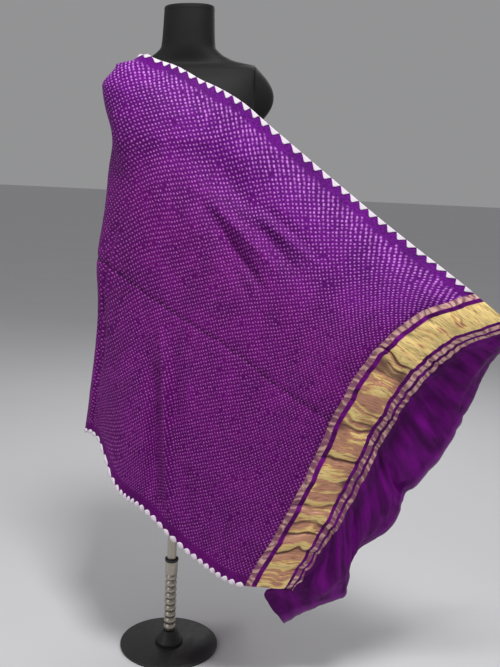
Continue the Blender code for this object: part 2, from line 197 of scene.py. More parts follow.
# %% [markdown]
# ## Where the cloth hangs
# The whole stole is one surface of two lengths measured on the cloth: `u` from the front hem to
# the back hem, and `v` from the upper long edge to the lower one.  Cloth could be simulated, but
# a drape that must follow one particular hang is easier to steer: five guide lines run
# along it, each a smooth curve through stations, and smooth curves across join them.

# %% The stole's sizes and guide lines
LENGTH, WIDTH = 2.10, 0.90                # hem to hem, and long edge to long edge
PLAIN_END, END = 0.170, 0.315             # hem to the woven border, and hem to the dotted field
CLEAR = 0.0045                            # the cloth's middle to the form's skin
SOFTNESS = (0.002, 0.001, 0.001)          # how gently each pass lifts it off the form

UPPER_EDGE = (
    # u      x      y       z
    (0.000, 0.725, -0.190, 0.845), (0.085, 0.722, -0.250, 0.860),
    (0.170, 0.690, -0.288, 0.880), (0.315, 0.604, -0.290, 0.944),
    (0.540, 0.434, -0.220, 1.067), (0.760, 0.262, -0.150, 1.199),
    (0.850, 0.178, -0.130, 1.264), (0.910, 0.131, -0.116, 1.301),
    (0.980, 0.075, -0.100, 1.332), (1.030, 0.037, -0.092, 1.347),
    (1.090, -0.013, -0.075, 1.373), (1.150, -0.056, -0.052, 1.387),
    (1.200, -0.102, 0.000, 1.404), (1.320, -0.085, 0.075, 1.350),
    (1.470, -0.005, 0.118, 1.240), (1.620, 0.092, 0.128, 1.118),
    (1.780, 0.190, 0.122, 0.990), (1.940, 0.280, 0.120, 0.860),
    (2.100, 0.362, 0.118, 0.727),
)
OVER_CAP = (
    (0.000, 0.675, -0.195, 0.780), (0.085, 0.658, -0.238, 0.810),
    (0.170, 0.604, -0.283, 0.840), (0.315, 0.505, -0.292, 0.905),
    (0.540, 0.364, -0.232, 0.980), (0.760, 0.214, -0.175, 1.098),
    (0.980, 0.045, -0.128, 1.220), (1.090, -0.045, -0.118, 1.275),
    (1.200, -0.135, -0.085, 1.315), (1.260, -0.177, -0.046, 1.330),
    (1.310, -0.186, 0.003, 1.330), (1.360, -0.176, 0.056, 1.295),
    (1.420, -0.136, 0.092, 1.240), (1.500, -0.070, 0.112, 1.190),
    (1.620, 0.045, 0.123, 1.058), (1.780, 0.155, 0.130, 0.915),
    (1.940, 0.248, 0.134, 0.785), (2.100, 0.332, 0.132, 0.655),
)
THIRD = (
    (0.000, 0.605, -0.200, 0.615), (0.085, 0.560, -0.225, 0.665),
    (0.170, 0.505, -0.270, 0.730), (0.315, 0.395, -0.285, 0.790),
    (0.540, 0.272, -0.238, 0.830), (0.760, 0.144, -0.197, 0.930),
    (0.980, 0.004, -0.157, 1.030), (1.090, -0.075, -0.130, 1.090),
    (1.220, -0.172, 0.000, 1.107), (1.320, -0.172, 0.085, 1.090),
    (1.470, -0.085, 0.125, 0.995), (1.620, 0.016, 0.132, 0.868),
    (1.780, 0.112, 0.150, 0.750), (1.940, 0.205, 0.156, 0.625),
    (2.100, 0.290, 0.154, 0.500),
)
THREE_QUARTERS = (
    (0.000, 0.404, -0.165, 0.250), (0.085, 0.395, -0.200, 0.320),
    (0.170, 0.380, -0.235, 0.440), (0.315, 0.270, -0.245, 0.475),
    (0.540, 0.141, -0.220, 0.525), (0.760, 0.025, -0.195, 0.614),
    (0.980, -0.076, -0.150, 0.693), (1.090, -0.137, -0.095, 0.712),
    (1.200, -0.195, 0.000, 0.731), (1.320, -0.190, 0.105, 0.720),
    (1.470, -0.128, 0.162, 0.625), (1.620, -0.055, 0.178, 0.530),
    (1.780, 0.030, 0.190, 0.430), (1.940, 0.125, 0.192, 0.335),
    (2.100, 0.222, 0.188, 0.238),
)
LOWER_EDGE = (
    (0.000, 0.274, -0.152, 0.150), (0.040, 0.246, -0.155, 0.184),
    (0.085, 0.225, -0.162, 0.228), (0.130, 0.261, -0.180, 0.247),
    (0.155, 0.282, -0.197, 0.254), (0.170, 0.288, -0.211, 0.259),
    (0.200, 0.274, -0.217, 0.264), (0.315, 0.180, -0.220, 0.271),
    (0.540, 0.063, -0.200, 0.326), (0.760, -0.053, -0.175, 0.419),
    (0.980, -0.129, -0.130, 0.469), (1.090, -0.179, -0.035, 0.533),
    (1.200, -0.220, 0.020, 0.535), (1.320, -0.200, 0.095, 0.515),
    (1.470, -0.150, 0.170, 0.430), (1.620, -0.080, 0.203, 0.335),
    (1.780, 0.004, 0.215, 0.248), (1.940, 0.098, 0.215, 0.165),
    (2.100, 0.195, 0.200, 0.085),
)
GUIDES = ((0.0, UPPER_EDGE), (0.120, OVER_CAP), (0.35 * WIDTH, THIRD),
          (0.75 * WIDTH, THREE_QUARTERS), (WIDTH, LOWER_EDGE))

# The front hem doesn't run straight: let out, or drawn in where negative.
SCALLOPS = (
    # v     half width  out
    (0.445, 0.055,     -0.015),
    (0.590, 0.055,     -0.040),
    (0.695, 0.045,      0.016),
)
HEM_OUT = (0.79, 0.0, -0.61)              # the way out of the cloth at the front hem
HEM_FADE = 0.070                          # how far from the hem this dies away

# %% [markdown]
# Folds lie on top of that drape.  Each runs along a straight line on the flat cloth, swells from
# nothing to its full rise at the middle, and falls away to both sides like a bell.

# %% The folds
FOLDS = (
    # from u, v     to u, v        rise  half width
    (1.10, 0.055,  1.40, 0.055,  0.010, 0.036),    # over the end of the shoulder
    (0.98, 0.215,  0.66, 0.310, -0.015, 0.020),    # pulled from under the bust to the band
    (0.93, 0.150,  0.60, 0.225, -0.010, 0.018),
    (0.92, 0.270,  0.64, 0.350, -0.008, 0.018),
    (1.00, 0.175,  0.74, 0.110, -0.010, 0.040),    # broad hollow over the chest
    (1.02, 0.450,  0.60, 0.930,  0.014, 0.022),    # upright ridge below the waist
    (1.02, 0.550,  0.70, 0.930, -0.012, 0.026),
    (1.20, 0.170,  1.14, 0.260, -0.008, 0.020),    # dent beside the armhole
    (1.08, 0.220,  1.46, 0.230, -0.015, 0.042),    # hollow below the armhole cap
    (1.06, 0.460,  1.50, 0.460,  0.014, 0.085),    # fullness at the side
    (1.19, 0.380,  1.13, 0.960, -0.012, 0.014),    # groove where the front turns back
    (0.135, -0.05, 0.135, 0.86, -0.018, 0.026),    # plain end: valley beside the border
    (0.17, -0.10,  0.02, 0.42,  0.012, 0.030),
    (0.18, 0.455, -0.10, 0.450, -0.010, 0.014),
    (0.15, 0.540,  0.00, 0.860,  0.012, 0.030),
    (1.34, 0.200,  1.44, 1.500, -0.018, 0.036),    # flares that hang behind the shoulder
    (1.37, 0.150,  1.82, 1.600,  0.022, 0.050),
    (1.40, 0.120,  2.06, 1.560, -0.024, 0.050),
    (1.43, 0.105,  2.42, 1.680,  0.027, 0.050),
    (1.46, 0.080,  2.68, 1.440, -0.028, 0.050),
    (1.49, 0.055,  2.66, 1.120,  0.029, 0.050),
    (1.52, 0.040,  2.63, 0.800, -0.029, 0.050),
    (1.55, 0.025,  2.60, 0.500,  0.028, 0.050),
    (1.57, 0.020,  2.59, 0.250, -0.022, 0.050),
)
print("drape:", len(GUIDES), "guide lines and", len(FOLDS), "folds")

# %% [markdown]
# ## The form's skin, as a level
# The cloth must lie on the form and never in it.  So the form is also written as a level: a number
# that is 1 on its skin and less inside.  Cloth that would come too close is moved out along the
# level's slope, softly at first, so that it lies on the form with no kink where it meets it.

# %% The form as a level
ARMHOLE_X = 0.150                         # flat armhole faces, left and right
CAPS = np.array((
    # out    front   up      height of its centre
    (0.028,  0.050,  0.052,  1.330),      # right, under the cloth
    (0.043,  0.058,  0.068,  1.316),      # left
))
DOME, ROUND = 1.2, 2.3                    # how domed a cap is, and how round the body is
TILT = 0.07                               # the left side stands taller by this share a metre out
BODY = np.array((
    # z      half width  front   back
    (0.700,  0.140,  0.092,  0.096), (0.708,  0.153,  0.104,  0.110),
    (0.730,  0.162,  0.111,  0.119), (0.800,  0.171,  0.117,  0.129),
    (0.880,  0.165,  0.112,  0.128), (0.960,  0.140,  0.100,  0.106),
    (1.030,  0.121,  0.092,  0.088), (1.100,  0.130,  0.104,  0.088),
    (1.170,  0.145,  0.124,  0.096), (1.220,  0.156,  0.130,  0.103),
    (1.270,  0.170,  0.120,  0.108), (1.320,  0.175,  0.099,  0.104),
    (1.352,  0.172,  0.080,  0.090), (1.370,  0.165,  0.064,  0.070),
    (1.380,  0.157,  0.054,  0.058), (1.385,  0.149,  0.048,  0.051),
    (1.389,  0.129,  0.046,  0.049), (1.394,  0.106,  0.046,  0.049),
    (1.407,  0.078,  0.048,  0.050), (1.425,  0.060,  0.050,  0.051),
    (1.455,  0.057,  0.050,  0.050), (1.500,  0.055,  0.049,  0.049),
))
HIP = BODY[0, 0]


def tilted(x, z):
    """Height once the form leans on its stand: hip + (z - hip) * (1 + TILT * x)."""
    return HIP + (z - HIP) * (1 + TILT * x)


def untilted(points):
    """The x, the y, and the height before the form leans."""
    x, y, z = np.moveaxis(points, -1, 0)
    return x, y, HIP + (z - HIP) / (1 + TILT * x)


def body_level(points):
    """1 on the body's skin: (|x / half| ** n + |y / deep| ** n) ** (1 / n) in each ring."""
    x, y, z = untilted(points)
    half, front, back = (np.interp(z, BODY[:, 0], BODY[:, column]) for column in (1, 2, 3))
    deep = np.where(y < 0, front, back)
    level = (np.abs(x / half) ** ROUND + np.abs(y / deep) ** ROUND) ** (1 / ROUND)
    return np.maximum(level, 1 + (np.abs(x) - ARMHOLE_X) / ARMHOLE_X)


def cap_level(points):
    """1 on a cap's dome, which bulges by out * (1 - r * r) ** DOME at r from its centre."""
    x, y, z = untilted(points)
    out, front, up, centre = np.moveaxis(CAPS[(x > 0).astype(int)], -1, 0)
    bulge = (np.maximum(np.abs(x) - ARMHOLE_X, 0) / out) ** (1 / DOME)
    return np.sqrt(bulge + (y / front) ** 2 + ((z - centre) / up) ** 2)


def distance(level, points, step=0.001):
    """Distance to a level's skin, (level - 1) / slope, and the way out of it."""
    slope = np.stack([(level(points + axis) - level(points - axis)) / (2 * step)
                      for axis in np.eye(3) * step], axis=-1)
    steep = np.maximum(np.linalg.norm(slope, axis=-1), 1.0)
    return (level(points) - 1) / steep, slope / steep[..., None]


def lift_off(points):
    """Moves cloth out to CLEAR: softness * log(1 + exp((away - CLEAR) / softness)) + CLEAR."""
    for softness in SOFTNESS:
        for level in (body_level, cap_level):
            away, out = distance(level, points)
            wanted = CLEAR + softness * np.logaddexp(0, (away - CLEAR) / softness)
            points = points + out * (wanted - away)[..., None]
    return points


print("form: a level through", len(BODY), "rings")

# %% [markdown]
# ## The drape
# Everything below takes whole arrays of `u` and `v` at once and returns whole arrays of points.
# Curves between stations are cubics that meet each station with a slope.  Along the cloth the
# slope is the usual average, and across it is kept from overshooting, so no false fold appears.


# %% The drape as a surface of u and v
def cubic(start, end, leaving, arriving, span, t):
    """Cubic from start to end, with the slopes it leaves and arrives with; t goes from 0 to 1."""
    return (start * (1 + 2 * t) * (1 - t) ** 2 + end * t ** 2 * (3 - 2 * t)
            + span * t * (1 - t) * (leaving * (1 - t) - arriving * t))


def between(knots, at):
    """The knot to the left of each value, the span to the next one, and the share of it."""
    left = np.clip(np.searchsorted(knots, at) - 1, 0, len(knots) - 2)
    span = np.diff(knots)[left]
    return left, span[..., None], ((at - knots[left]) / span)[..., None]


def careful_slopes(knots, values):
    """Slopes that never overshoot: a weighted harmonic mean, or flat where a curve turns."""
    step = np.diff(knots).reshape((-1,) + (1,) * (values.ndim - 1))
    rate = np.diff(values, axis=0) / step
    before, after = rate[:-1], rate[1:]
    same_way = before * after > 0
    mean = 3 * (step[:-1] + step[1:]) / (
        (2 * step[1:] + step[:-1]) / np.where(same_way, before, 1)
        + (step[1:] + 2 * step[:-1]) / np.where(same_way, after, 1))
    return np.concatenate([rate[:1], np.where(same_way, mean, 0), rate[-1:]])


def guide_points(line, u):
    """Points of one guide line at every `u`."""
    table = np.asarray(line)
    station, points = table[:, 0], table[:, 1:]
    slope = np.gradient(points, station, axis=0)
    left, span, t = between(station, u)
    return cubic(points[left], points[left + 1], slope[left], slope[left + 1], span, t)


def scallop(u, v):
    """Sum of out * exp(-((v - at) / half width) ** 2), fading as exp(-(u / HEM_FADE) ** 2)."""
    out = sum(reach * np.exp(-((v - at) / width) ** 2) for at, width, reach in SCALLOPS)
    return np.exp(-(u / HEM_FADE) ** 2) * out


def hang(u, v):
    """The drape before its folds: along each guide line at u, then across them at v."""
    knots = np.array([at for at, _ in GUIDES])
    lines = np.stack([guide_points(line, u) for _, line in GUIDES])
    slopes = careful_slopes(knots, lines)
    left, span, t = between(knots, v)

    def pick(values, index):
        return np.take_along_axis(values, index[None, ..., None], axis=0)[0]
    points = cubic(pick(lines, left), pick(lines, left + 1),
                   pick(slopes, left), pick(slopes, left + 1), span, t)
    return points + scallop(u, v)[..., None] * HEM_OUT


def facing(surface, u, v, step=0.004):
    """Unit normals, away from the wearer: (step along u) cross (step along v)."""
    along = surface(u + step, v) - surface(u - step, v)
    across = surface(u, v + step) - surface(u, v - step)
    out = np.cross(along, across)
    return out / np.linalg.norm(out, axis=-1, keepdims=True)


def fold_rise(u, v, folds=FOLDS):
    """Sum of rise * sin(pi t) ** 2 * exp(-(aside / half width) ** 2) over the folds."""
    total = np.zeros(np.shape(u))
    for u0, v0, u1, v1, rise, width in folds:
        run = np.array([u1 - u0, v1 - v0])
        length = np.linalg.norm(run)
        t = np.clip(((u - u0) * run[0] + (v - v0) * run[1]) / length ** 2, 0, 1)
        aside = ((u - u0) * run[1] - (v - v0) * run[0]) / length
        total = total + rise * np.sin(np.pi * t) ** 2 * np.exp(-(aside / width) ** 2)
    return total


middle = hang(np.array([[LENGTH / 2]]), np.array([[WIDTH / 2]]))[0, 0]
print("the middle of the stole hangs at", np.round(middle, 3).tolist())

# %% [markdown]
# ## Crinkles
# Tie-dyed silk keeps the puckers of its ties, and a stiff metallic border buckles into sharp
# creases across its length.  Both come from random hills on a lattice: where a hill crosses its
# middle height, the fold of an absolute value turns it into a sharp ridge.

# %% Crinkles, small folds and the pressed centre fold
HILLS = np.random.default_rng(11).random((256, 256))
CENTRE_FOLD, DRIFT = 0.459, 0.021         # v of the fold pressed in along the middle, its drift
DRIFT_START, DRIFT_LENGTH = 0.80, 0.86    # the drift is a sine of u, from here and this long
BORDER_DEEP = 0.0150                      # creases of the border, valley to crest
CREASES = (
    # share  apart   long   starts at
    (0.62,   0.0420, 0.130,  0,  7),
    (0.27,   0.0170, 0.080, 40, 19),
    (0.11,   0.0085, 0.060, 90, 33),
)
SMALL_FOLDS = (
    # from u, v     to u, v        rise   half width
    (0.975, 0.222, 0.640, 0.312, -0.0090, 0.0110),    # valleys and ridges fanning from the bust
    (0.985, 0.206, 0.620, 0.250,  0.0080, 0.0110),
    (0.950, 0.205, 0.580, 0.200, -0.0045, 0.0100),
    (0.925, 0.186, 0.570, 0.160,  0.0070, 0.0100),
    (0.880, 0.150, 0.580, 0.148, -0.0065, 0.0110),
    (1.000, 0.100, 0.800, 0.200, -0.0160, 0.0380),    # hollow over the chest
    (1.130, 0.340, 1.192, 0.700,  0.0060, 0.0070),    # edge where the front turns back
    (1.196, 0.520, 1.104, 0.960,  0.0060, 0.0070),
    (1.146, 0.340, 1.208, 0.700, -0.0100, 0.0080),
    (1.212, 0.520, 1.120, 0.960, -0.0100, 0.0080),
    (1.020, 0.450, 0.580, 0.960,  0.0100, 0.0140),    # upright ridge and what lies beside it
    (1.060, 0.500, 0.620, 0.980, -0.0090, 0.0240),
    (0.940, 0.480, 0.720, 0.760, -0.0060, 0.0150),
    (0.890, 0.460, 0.620, 0.800,  0.0060, 0.0180),
    (0.185, 0.478, -0.060, 0.430, -0.0120, 0.0100),   # plain end: creases from the border
    (0.190, 0.540, 0.020, 0.500,  0.0080, 0.0120),
    (0.185, 0.600, 0.030, 0.660, -0.0090, 0.0120),
    (0.190, 0.660, 0.040, 0.730,  0.0080, 0.0120),
    (0.185, 0.360, 0.000, 0.330,  0.0080, 0.0140),
    (0.185, 0.270, 0.020, 0.290, -0.0070, 0.0130),
)


def hills(x, y):
    """Random heights from 0 to 1, one unit apart, eased between by t * t * (3 - 2 t)."""
    i, j = np.floor(x).astype(int), np.floor(y).astype(int)
    s, t = x - i, y - j
    s, t = s * s * (3 - 2 * s), t * t * (3 - 2 * t)

    def at(a, b):
        return HILLS[(i + a) % 256, (j + b) % 256]
    return ((at(0, 0) * (1 - s) + at(1, 0) * s) * (1 - t)
            + (at(0, 1) * (1 - s) + at(1, 1) * s) * t)


def ease(value, low, high):
    """0 below low, 1 above high, easing between."""
    t = np.clip((value - low) / (high - low), 0, 1)
    return t * t * (3 - 2 * t)


def from_hem(u):
    """Distance from the nearer hem."""
    return np.minimum(u, LENGTH - u)


def puffs(x, y):
    """Rounded crests |2 h - 1| parted by sharp valleys where the hills cross half height."""
    return np.abs(2 * hills(x, y) - 1)


def on_border(u):
    """1 on the woven border, 0 on the dotted field and on the plain end."""
    hem = from_hem(u)
    return (ease(hem, PLAIN_END - 0.015, PLAIN_END + 0.010)
            * (1 - ease(hem, END - 0.010, END + 0.015)))


def border_creases(u, v):
    """Long crests across the border, and finer ones that follow their slant."""
    slant = v + 0.030 * hills(u / 0.060, v / 0.070) + 0.010 * hills(u / 0.020 + 9, v / 0.026)
    return sum(share * puffs(slant / apart + first, u / long + second)
               for share, apart, long, first, second in CREASES)


def sway(u, v):
    """How far the gathers pull the border's seams along the cloth, in metres."""
    hem = from_hem(u)
    near = ease(hem, PLAIN_END - 0.050, PLAIN_END) * (1 - ease(hem, END - 0.005, END + 0.035))
    pull = 0.0075 * (hills(v / 0.034, 5.5) - 0.5) + 0.0035 * (hills(v / 0.013, 8.5) - 0.5)
    return np.where(u < LENGTH / 2, 1, -1) * near * pull


def relief(u, v):
    """How far the fine shapes stand off the drape, in metres."""
    border = on_border(u)
    plain = 1 - ease(from_hem(u), PLAIN_END - 0.020, PLAIN_END + 0.010)
    puckers = 0.0006 * (hills(u / 0.011, v / 0.011 + 90) - 0.5)
    slack = 0.0012 * (hills(u / 0.045 + 30, v / 0.060) - 0.5)
    ripples = (0.0050 * (puffs(v / 0.060 + 0.8 * hills(u / 0.06, v / 0.06), u / 0.16 + 4) - 0.5)
               + 0.0040 * (puffs(u / 0.040 + 0.4 * v / 0.040 + 50, v / 0.050 + 20) - 0.5)
               + 0.0016 * (puffs(u / 0.017 + 70, v / 0.014 + 33) - 0.5))
    margin = 0.0022 * ease(v, WIDTH - 0.034, WIDTH - 0.010) * (hills(u / 0.0085, v / 0.03) - 0.5)
    middle = CENTRE_FOLD + DRIFT * np.sin(2 * np.pi * (u - DRIFT_START) / DRIFT_LENGTH)
    pressed = -0.0034 * np.exp(-np.abs(v - middle) / 0.0060)
    return (border * BORDER_DEEP * (border_creases(u, v) - 0.5) + plain * ripples
            + (1 - border - plain) * (puckers + slack + margin) + pressed
            + fold_rise(u, v, SMALL_FOLDS))


def cloth(u, v):
    """The finished middle of the cloth: the drape, its folds and relief, lifted off the form."""
    rise = fold_rise(u, v) + relief(u, v)
    u = u + sway(u, v)
    return lift_off(hang(u, v) + facing(hang, u, v) * rise[..., None])


print("small folds:", len(SMALL_FOLDS))

# %% [markdown]
# ## Turning a surface into a sheet
# A sheet of cloth is a closed skin: an outer face, an inner face the wrong way round, and a rim
# that joins them.  It keeps four things for its finish: its lengths `u` and `v` in metres, the
# place in the lattice of dots, how brightly a crease's painted highlight shows, and how high it
# stands.

# %% A sheet on the drape
DOT_SPACING = 0.0095                      # between neighbouring dots
CLOSER = 1.3                              # rows stand this much closer across the cloth
BEND, BEND_OVER = 0.100, 0.150            # one set of rows bends beside the upper edge


def dot_lattice(u, v):
    """Places counted in dots on the bias, u + down and down - u, the first bent by a tanh."""
    down = CLOSER * v
    bent = down - BEND * np.tanh(v / BEND_OVER)
    return np.stack([u + bent, down - u], axis=-1) / (np.sqrt(2) * DOT_SPACING)


def gleam(u, v, step=0.0015):
    """Painted highlight: 1 on the side of a crease that faces up and 0 on the other, often 1 near
    the upper edge.
    """
    fall = BORDER_DEEP * (border_creases(u, v + step) - border_creases(u, v - step)) / (2 * step)
    patch = 0.6 * (hills(u / 0.030 + 3, v / 0.040 + 60) - 0.5)
    return ease(patch - fall + 0.45 * ease(0.42 - v, 0, 0.30), -0.12, 0.26)


def stations(start, end, size):
    """Evenly spaced values about `size` apart."""
    return np.linspace(start, end, max(2, int(round((end - start) / size)) + 1))


def make_object(name, points, faces, ends=()):
    """Puts points (n, 3), faces (m, 4) and any end faces into a mesh and links its object."""
    mesh = bpy.data.meshes.new(name)
    mesh.from_pydata(points.reshape(-1, 3).tolist(), [], faces.tolist() + list(ends))
    mesh.shade_smooth()
    obj = bpy.data.objects.new(name, mesh)
    bpy.context.collection.objects.link(obj)
    return obj


def skin_faces(rows, columns):
    """Four-sided faces of a closed skin of two grids: outer, inner and the four rims."""
    number = np.arange(rows * columns).reshape(rows, columns)
    under = rows * columns
    face = np.stack([number[:-1, :-1], number[1:, :-1], number[1:, 1:], number[:-1, 1:]], axis=-1)
    faces = [face.reshape(-1, 4), face[..., ::-1].reshape(-1, 4) + under]
    for edge, as_is in ((number[0], True), (number[-1], False),
                        (number[:, 0], False), (number[:, -1], True)):
        rim = np.stack([edge[:-1], edge[1:], edge[1:] + under, edge[:-1] + under], axis=-1)
        faces.append(rim if as_is else rim[:, ::-1])
    return np.concatenate(faces)


def keep_lengths(obj, u, v):
    """Stores u and v, the dot lattice, the gleam (a painted highlight) and the crease's height,
    for the finish.
    """
    corner = np.empty(len(obj.data.loops), int)
    obj.data.loops.foreach_get("vertex_index", corner)
    for name, values in (("lengths", np.stack([u, v], axis=-1)), ("dots", dot_lattice(u, v))):
        layer = obj.data.uv_layers.new(name=name)
        layer.data.foreach_set("uv", values[corner].astype("f").ravel())
    for attribute, values in (("gleam", gleam(u, v)), ("crease", border_creases(u, v))):
        obj.data.attributes.new(attribute, "FLOAT", "POINT").data.foreach_set(
            "value", values.astype("f"))


def spread(values):
    """The same stations with one more at each end, so slopes can be taken at every one."""
    return np.concatenate([[2 * values[0] - values[1]], values, [2 * values[-1] - values[-2]]])


def sheet_piece(name, u, v, thickness=0.0008):
    """A closed sheet between the first and last u and v, half its thickness to each side."""
    wider = cloth(*np.meshgrid(spread(u), spread(v), indexing="ij"))
    out = np.cross(wider[2:, 1:-1] - wider[:-2, 1:-1], wider[1:-1, 2:] - wider[1:-1, :-2])
    out *= thickness / 2 / np.linalg.norm(out, axis=-1, keepdims=True)
    middle = wider[1:-1, 1:-1]
    points = np.stack([middle + out, middle - out])
    obj = make_object(name, points, skin_faces(len(u), len(v)))
    obj.data.set_sharp_from_angle(angle=1.2)
    uu, vv = np.meshgrid(u, v, indexing="ij")
    keep_lengths(obj, np.tile(uu.ravel(), 2), np.tile(vv.ravel(), 2))
    return obj


# %% [markdown]
# ## The dotted silk
# In tie-dyeing, each dot is a pinch of cloth bound with thread before it goes into the dye, so
# rows of dots lie on the bias and each is a little out of place, a little brighter or weaker, and
# some are missing.  A cell texture with little randomness gives exactly that: a lattice whose
# points have wandered.  Towards the upper edge the pulled cloth drags the dots into dashes.

# %% The dotted silk's finish
UPPER_MARGIN, LOWER_MARGIN = 0.026, 0.025            # plain cloth beside the long edges


def pressed_crease_shade(tree, lengths, along, down):
    """Share of painted shade in the crease pressed in along the middle, a sine of `along` that
    also wanders.
    """
    turns = maths(tree, "MULTIPLY_ADD", along, 2 * np.pi / DRIFT_LENGTH,
                  -2 * np.pi * DRIFT_START / DRIFT_LENGTH)
    middle = maths(tree, "MULTIPLY_ADD", maths(tree, "SINE", turns), DRIFT, CENTRE_FOLD + 0.005)
    wandering = maths(tree, "MULTIPLY_ADD", noise_of(tree, lengths, 30.0, 2.0), 0.010, down)
    aside = maths(tree, "ABSOLUTE", maths(tree, "SUBTRACT", wandering, middle))
    broken = noise_of(tree, lengths, 60.0, 2.0)
    return maths(tree, "MULTIPLY", soft_step(tree, aside, 0.0050, 0.0010),
                 soft_step(tree, broken, 0.30, 0.62, 0.25, 0.75))


dotted_silk, tree, shader = finish("dotted_silk", Roughness=0.65, Specular_IOR_Level=0.12,
                                   Sheen_Weight=0.10, Sheen_Roughness=0.45,
                                   Sheen_Tint=colour(226, 80, 240))
lengths = on_cloth(tree)
along, down, _ = add(tree, "SeparateXYZ", {0: lengths}).outputs
lattice = add(tree, "UVMap", uv_map="dots").outputs[0]
cell = add(tree, "TexVoronoi", {"Vector": lattice, "Scale": 1.0, "Randomness": 0.22},
           voronoi_dimensions="2D", feature="F1")
offset = add(tree, "VectorMath", {0: lattice, 1: cell.outputs["Position"]}, operation="SUBTRACT")
aside, lengthwise, _ = add(tree, "SeparateXYZ", {0: offset.outputs[0]}).outputs
chance, strength_of, start_of = add(tree, "SeparateColor", {0: cell.outputs["Color"]}).outputs
ragged = maths(tree, "MULTIPLY_ADD", start_of, 0.070, down)
pulled = soft_step(tree, ragged, 0.060, 0.150, 0.58, 1.0)
reach = maths(tree, "SQRT", maths(tree, "ADD", maths(tree, "POWER", aside, 2.0), maths(
    tree, "POWER", maths(tree, "MULTIPLY", lengthwise, pulled), 2.0)))
patch = noise_of(tree, add(tree, "VectorMath", {0: cell.outputs["Position"], 3: 0.16},
                           operation="SCALE").outputs[0], 1.0, 1.0)
tied = maths(tree, "GREATER_THAN", maths(tree, "SUBTRACT", chance, soft_step(
    tree, patch, 0.66, 0.82, 0.0, 0.55)), 0.015)
edge = noise_of(tree, lengths, 55.0, 2.0)
inside = maths(tree, "MULTIPLY", soft_step(tree, maths(tree, "MULTIPLY_ADD", edge, -0.030, down),
                                           UPPER_MARGIN - 0.018, UPPER_MARGIN - 0.008),
               soft_step(tree, down, WIDTH - LOWER_MARGIN + 0.004, WIDTH - LOWER_MARGIN - 0.004))
dot = maths(tree, "MULTIPLY", maths(tree, "MULTIPLY", soft_step(tree, reach, 0.33, 0.12), tied),
            inside)
shown = maths(tree, "MULTIPLY", dot, soft_step(tree, strength_of, 0.0, 1.0, 0.55, 1.0))
dye_and_painted_shade = noise_of(tree, lengths, 14.0, 5.0)
# Lighter near the upper edge and darker from a third of the width down: painted light from above,
# a lit and a shaded copy of the same dye.
lower = soft_step(tree, down, 0.0, 0.34)
painted_lit_dye = mixed(tree, soft_step(tree, dye_and_painted_shade, 0.30, 0.70), colour(94, 6, 120), colour(116, 12, 144))
painted_shaded_dye = mixed(tree, soft_step(tree, dye_and_painted_shade, 0.30, 0.70), colour(92, 6, 100), colour(112, 8, 118))
ground = mixed(tree, lower, painted_lit_dye, painted_shaded_dye)
crinkle_height_and_shade = noise_of(tree, lengths, 210.0, 3.0)
# Darker where the fine crinkles that bump the cloth are low: painted shade in their valleys.
ground = mixed(tree, soft_step(tree, crinkle_height_and_shade, 0.58, 0.40, 0.0, 0.55), ground, colour(52, 2, 62))
# Darker along the pressed crease: painted shade in the crease.
ground = mixed(tree, pressed_crease_shade(tree, lengths, along, down), ground, colour(36, 2, 42))
# The dots too are lighter near the upper edge than lower down: painted light from above.
feed(tree, shader, Base_Color=mixed(tree, shown, ground, mixed(
    tree, lower, colour(210, 132, 226), colour(190, 98, 188))))
feed(tree, shader, Normal=bumped(tree, maths(tree, "MULTIPLY_ADD", dot, 0.5, crinkle_height_and_shade), 0.0016, 0.9))
print("dotted silk: a dot every", DOT_SPACING * 1000, "mm")

# %% [markdown]
# ## The dotted field
# The field is one cloth from border to border.  Its grid is finer in front, where the small folds
# are, and coarser over the shoulder and behind.

# %% Make the field
ACROSS = stations(0, WIDTH, 0.0052)
field_u = np.concatenate([stations(END, 1.25, 0.0048), stations(1.25, LENGTH - END, 0.009)[1:]])
field = sheet_piece("dotted_field", field_u, ACROSS)
field.data.materials.append(dotted_silk)
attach(field, "root")
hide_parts("field_front", "field_shoulder", "field_back")
print("dotted field:", len(field.data.polygons), "faces")

# %% [markdown]
# ## Plain silk and metallic weaves
# The ends are the same silk with no dots.  The gold band is woven with metal thread over a mauve
# ground.  On the side of a crease that faces up a painted highlight makes it bright gold, where
# the metal would catch the light, and elsewhere the ground shows.  So the painted highlight
# follows the slope of the crease itself.

# %% The finishes of the ends
plain_silk, tree, shader = finish("plain_silk", Roughness=0.60, Specular_IOR_Level=0.10,
                                  Sheen_Weight=0.07, Sheen_Roughness=0.40,
                                  Sheen_Tint=colour(220, 70, 225))
lengths = on_cloth(tree)
along = add(tree, "SeparateXYZ", {0: lengths}).outputs[0]
streaks = streaks_of(tree, lengths, (9.0, 34.0, 1.0), 5.0)
near_hem = maths(tree, "MINIMUM", along, maths(tree, "SUBTRACT", LENGTH, along))
# Darker and lighter purple follow the streaks that also bump the cloth: painted shade in the
# wrinkles' valleys and painted highlight on their crests.
dye_and_painted_shade = mixed(tree, soft_step(tree, streaks, 0.36, 0.66), colour(76, 5, 84), colour(114, 10, 126))
feed(tree, shader, Base_Color=mixed(tree, soft_step(tree, near_hem, 0.026, 0.004, 0.0, 0.55), dye_and_painted_shade,
                                    colour(140, 66, 152)))
wrinkles = maths(tree, "MULTIPLY_ADD", noise_of(tree, lengths, 260.0, 3.0), 0.12, streaks)
feed(tree, shader, Normal=bumped(tree, wrinkles, 0.0050, 0.9))


def weave_parts(name, roughness):
    """A woven finish begun: its lengths, its gleam (a painted highlight), its crease depth and its
    fine lines.
    """
    made, tree, shader = finish(name, Roughness=roughness, Metallic=0.15)
    lengths = on_cloth(tree)
    up = add(tree, "Attribute", attribute_name="gleam").outputs["Fac"]
    depth = add(tree, "Attribute", attribute_name="crease").outputs["Fac"]
    lines = streaks_of(tree, lengths, (40.0, 380.0, 1.0), 4.0)
    return made, tree, shader, lengths, up, depth, lines


